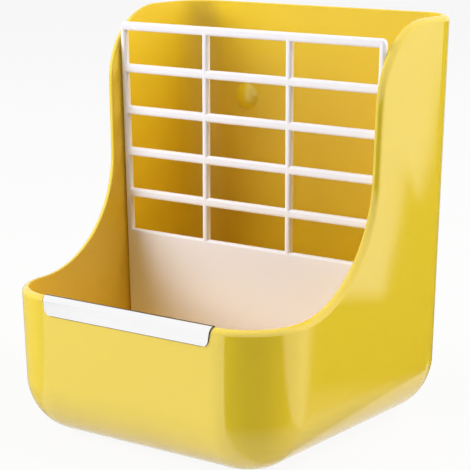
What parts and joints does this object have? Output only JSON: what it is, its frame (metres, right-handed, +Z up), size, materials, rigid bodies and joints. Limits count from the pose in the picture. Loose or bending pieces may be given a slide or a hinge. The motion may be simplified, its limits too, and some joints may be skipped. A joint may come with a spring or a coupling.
{
  "type": "hay feeder box",
  "caption": "Moulded hay bin for small pets with a lift-out bar grille, a low food bowl in front, a steel bite guard on the rim and screw clamps for a cage wall",
  "frame": {"origin": "On the floor under the middle of the box, on its flat base", "axes": "+X to the right seen from the bowl side, +Y back to the cage wall, +Z up"},
  "size_m": [0.1658, 0.1899, 0.2],
  "materials": {
    "yellow_plastic": "glossy injection moulding",
    "white_plastic": "satin to glossy injection moulding",
    "steel_sheet": "fine brushed stainless sheet",
    "clamp_plastic": "satin moulding"
  },
  "bodies": {
    "box": {"housing": "yellow_plastic", "bite_guard": "steel_sheet", "clamp_bolts": "yellow_plastic"},
    "grille": {"grille": "white_plastic"},
    "washer_left": {"clamp_washer_left": "clamp_plastic"},
    "nut_left": {"wing_nut_left": "clamp_plastic"},
    "washer_right": {"clamp_washer_right": "clamp_plastic"},
    "nut_right": {"wing_nut_right": "clamp_plastic"}
  },
  "joints": [
    {"name": "grille_lift", "type": "slide", "parent": "box", "child": "grille", "axis": [0, 0, 1], "range_m": [0, 0.2]},
    {"name": "clamp_feed_left", "type": "slide", "parent": "box", "child": "washer_left", "axis": [0, 1, 0], "range_m": [-0.0035, 0.011]},
    {"name": "nut_spin_left", "type": "hinge", "parent": "washer_left", "child": "nut_left", "pos_m": [-0.045, 0.092, 0.15], "axis": [0, 1, 0], "range_deg": [-1261, 3961]},
    {"name": "clamp_feed_right", "type": "slide", "parent": "box", "child": "washer_right", "axis": [0, 1, 0], "range_m": [-0.0035, 0.011]},
    {"name": "nut_spin_right", "type": "hinge", "parent": "washer_right", "child": "nut_right", "pos_m": [0.045, 0.092, 0.15], "axis": [0, 1, 0], "range_deg": [-1261, 3961]}
  ],
  "couplings": [
    {"joint": "nut_spin_left", "follows": "clamp_feed_left", "rad_per_m": 6283.2},
    {"joint": "nut_spin_right", "follows": "clamp_feed_right", "rad_per_m": 6283.2}
  ]
}
